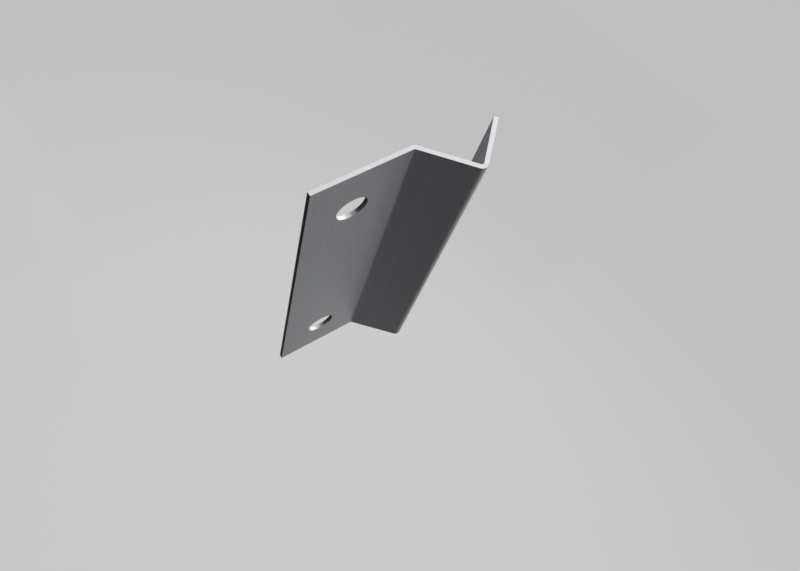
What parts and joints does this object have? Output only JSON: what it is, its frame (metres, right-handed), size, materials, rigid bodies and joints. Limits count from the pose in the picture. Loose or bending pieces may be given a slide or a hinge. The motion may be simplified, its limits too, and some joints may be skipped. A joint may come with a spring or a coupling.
{
  "type": "picture frame wall bracket",
  "caption": "Folded sheet-metal wall bracket for a picture frame: a flat screw plate whose side folds forward into a web and back into a lip, making a right-angled ridge.",
  "frame": {"origin": "middle of the two screw holes, on the face of the plate that lies on the wall", "axes": "+Z along the bracket's length, +Y into the wall, +X across the plate from its free edge to the folded ridge"},
  "size_m": [0.0315, 0.0079, 0.0684],
  "materials": {
    "sheet_metal": "bare sheet, finely brushed along its length, with clean sheared edges"
  },
  "bodies": {
    "root": {"bracket": "sheet_metal"}
  },
  "joints": []
}
